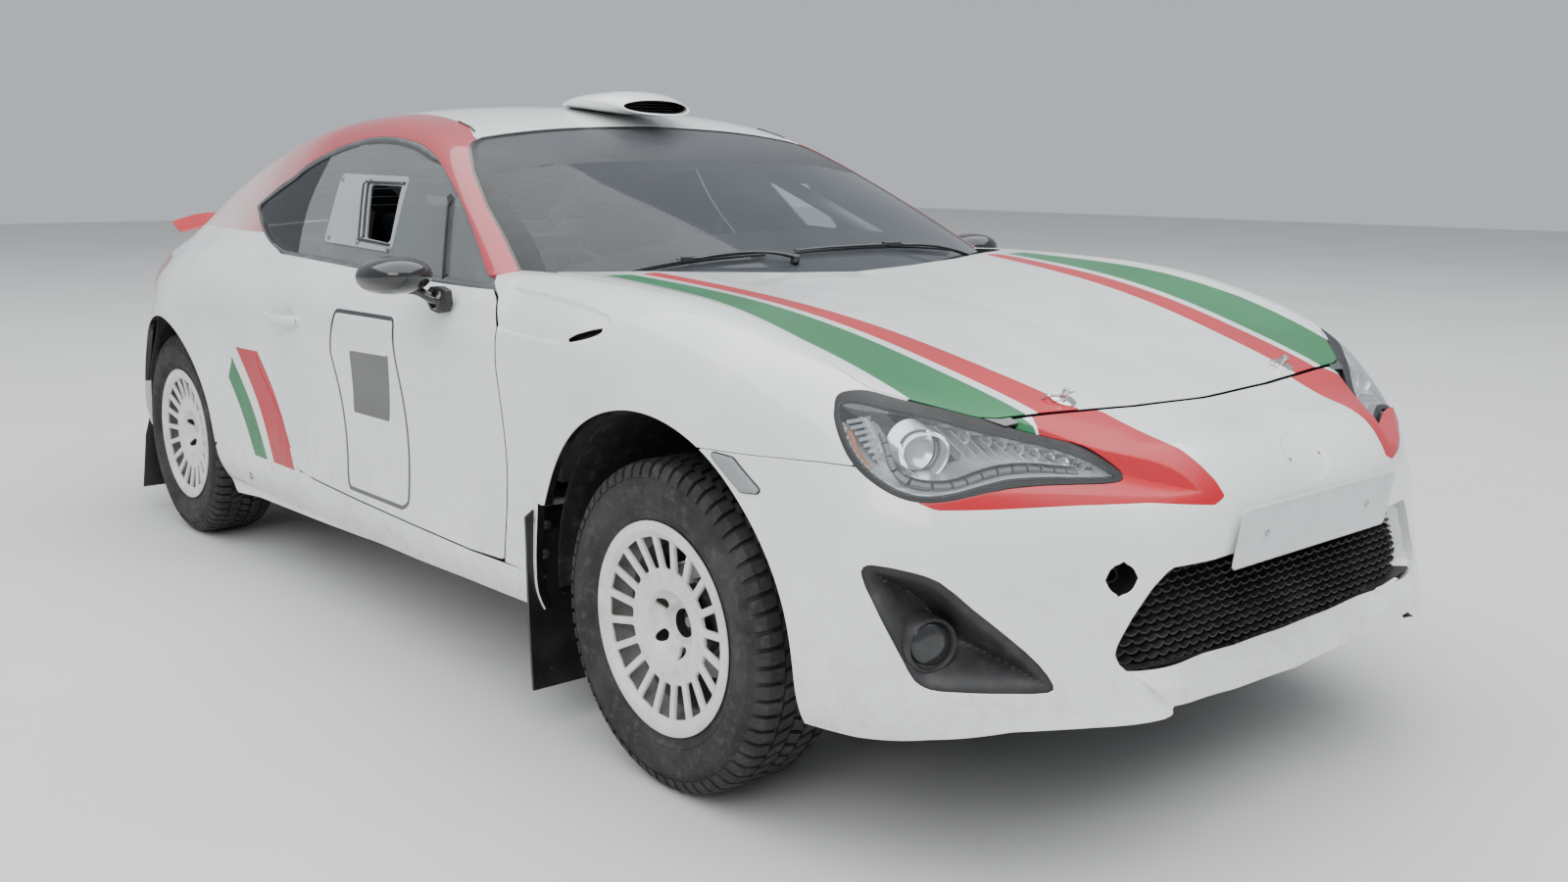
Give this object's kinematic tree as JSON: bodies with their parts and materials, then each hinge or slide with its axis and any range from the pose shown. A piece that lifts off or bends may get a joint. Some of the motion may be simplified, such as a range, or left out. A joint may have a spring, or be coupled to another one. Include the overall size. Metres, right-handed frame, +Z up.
{
  "type": "two-door rally coupe",
  "caption": "Low two-door gravel rally coupe with caged cabin, roof air scoop, slotted steel-look wheels, mud flaps and ducktail spoiler; wheels roll and steer, doors, bonnet and boot open.",
  "frame": {"origin": "on the ground under the middle of the car's overall box", "axes": "+Z up, +Y towards the tail, nose towards -Y, +X towards the car's own left side"},
  "size_m": [2.042, 4.26, 1.374],
  "materials": {
    "white_paint": "glossy white enamel over steel",
    "red_paint": "glossy red paint with white roof centre",
    "shell_paint": "satin pale grey shell paint, dusty",
    "liner_plastic": "matte black moulded liner",
    "clear_glass": "clear glass",
    "tinted_glass": "dark tinted glass",
    "lamp_glass": "clear moulded lamp lens over chrome and black",
    "red_lens": "deep red moulded lens",
    "black_plastic": "fine grained black",
    "gloss_black": "gloss black",
    "plate_enamel": "blank pale enamelled plate",
    "white_composite": "glossy white composite",
    "red_composite": "glossy red composite",
    "flap_rubber": "flexible black rubber sheet",
    "forged_steel": "machined steel",
    "arm_paint": "satin black paint on steel",
    "exhaust_steel": "heat tinted stainless steel",
    "cast_metal": "rough cast metal",
    "seat_fabric": "black woven seat cloth over a shell",
    "cage_paint": "white painted tube",
    "wheel_paint": "satin white powder coat",
    "tyre_rubber": "black tread rubber"
  },
  "bodies": {
    "body": {"front_fender_left": "white_paint", "front_fender_right": "white_paint", "front_bumper": "white_paint", "quarter_panel_left": "white_paint", "quarter_panel_right": "white_paint", "rear_bumper": "white_paint", "side_skirts": "white_paint", "roof_frame": "red_paint", "floor_pan": "shell_paint", "transmission_tunnel": "shell_paint", "sill_beams": "shell_paint", "rear_floor": "shell_paint", "boot_floor": "shell_paint", "front_rails": "shell_paint", "bulkheads": "shell_paint", "wheel_houses": "liner_plastic", "windscreen": "clear_glass", "rear_window": "clear_glass", "quarter_glass": "tinted_glass", "headlights": "lamp_glass", "tail_lamps": "red_lens", "bumper_grilles": "black_plastic", "wipers": "black_plastic", "dashboard": "black_plastic", "steering_wheel": "black_plastic", "number_plates": "plate_enamel", "roof_vent": "white_composite", "mudflaps": "flap_rubber", "tow_sockets": "forged_steel", "propshaft": "forged_steel", "front_subframe": "arm_paint", "rear_suspension": "arm_paint", "exhaust": "exhaust_steel", "engine_block": "cast_metal", "seats": "seat_fabric", "roll_cage": "cage_paint"},
    "bonnet": {"bonnet": "white_paint"},
    "boot_lid": {"boot_lid": "white_paint", "boot_spoiler": "red_composite"},
    "door_left": {"door_left": "white_paint", "door_glass_left": "clear_glass", "mirror_left": "gloss_black"},
    "door_right": {"door_right": "white_paint", "door_glass_right": "clear_glass", "mirror_right": "gloss_black"},
    "knuckle_left": {"front_knuckle_left": "cast_metal"},
    "knuckle_right": {"front_knuckle_right": "cast_metal"},
    "wheel_front_left": {"wheel_front_left": "wheel_paint", "tyre_front_left": "tyre_rubber"},
    "wheel_front_right": {"wheel_front_right": "wheel_paint", "tyre_front_right": "tyre_rubber"},
    "wheel_rear_left": {"wheel_rear_left": "wheel_paint", "tyre_rear_left": "tyre_rubber"},
    "wheel_rear_right": {"wheel_rear_right": "wheel_paint", "tyre_rear_right": "tyre_rubber"}
  },
  "joints": [
    {"name": "bonnet_hinge", "type": "hinge", "parent": "body", "child": "bonnet", "pos_m": [0, -0.705, 0.935], "axis": [-1, 0, 0], "range_deg": [0, 55]},
    {"name": "boot_hinge", "type": "hinge", "parent": "body", "child": "boot_lid", "pos_m": [0, 1.566, 0.964], "axis": [1, 0, 0], "range_deg": [0, 65]},
    {"name": "door_left_hinge", "type": "hinge", "parent": "body", "child": "door_left", "pos_m": [0.868, -0.745, 0.6], "axis": [0, 0, -1], "range_deg": [0, 65]},
    {"name": "door_right_hinge", "type": "hinge", "parent": "body", "child": "door_right", "pos_m": [-0.868, -0.745, 0.6], "axis": [0, 0, 1], "range_deg": [0, 65]},
    {"name": "steer_left", "type": "hinge", "parent": "body", "child": "knuckle_left", "pos_m": [0.702, -1.285, 0.205], "axis": [-0.169, 0, 0.9856], "range_deg": [-33, 33]},
    {"name": "steer_right", "type": "hinge", "parent": "body", "child": "knuckle_right", "pos_m": [-0.702, -1.285, 0.205], "axis": [0.169, 0, 0.9856], "range_deg": [-33, 33]},
    {"name": "wheel_front_left_spin", "type": "hinge", "parent": "knuckle_left", "child": "wheel_front_left", "pos_m": [0.762, -1.285, 0.32], "axis": [1, 0, 0], "continuous": true},
    {"name": "wheel_front_right_spin", "type": "hinge", "parent": "knuckle_right", "child": "wheel_front_right", "pos_m": [-0.762, -1.285, 0.32], "axis": [1, 0, 0], "continuous": true},
    {"name": "wheel_rear_left_spin", "type": "hinge", "parent": "body", "child": "wheel_rear_left", "pos_m": [0.762, 1.285, 0.32], "axis": [1, 0, 0], "continuous": true},
    {"name": "wheel_rear_right_spin", "type": "hinge", "parent": "body", "child": "wheel_rear_right", "pos_m": [-0.762, 1.285, 0.32], "axis": [1, 0, 0], "continuous": true}
  ],
  "couplings": [
    {"joint": "steer_right", "follows": "steer_left", "ratio": 1}
  ]
}
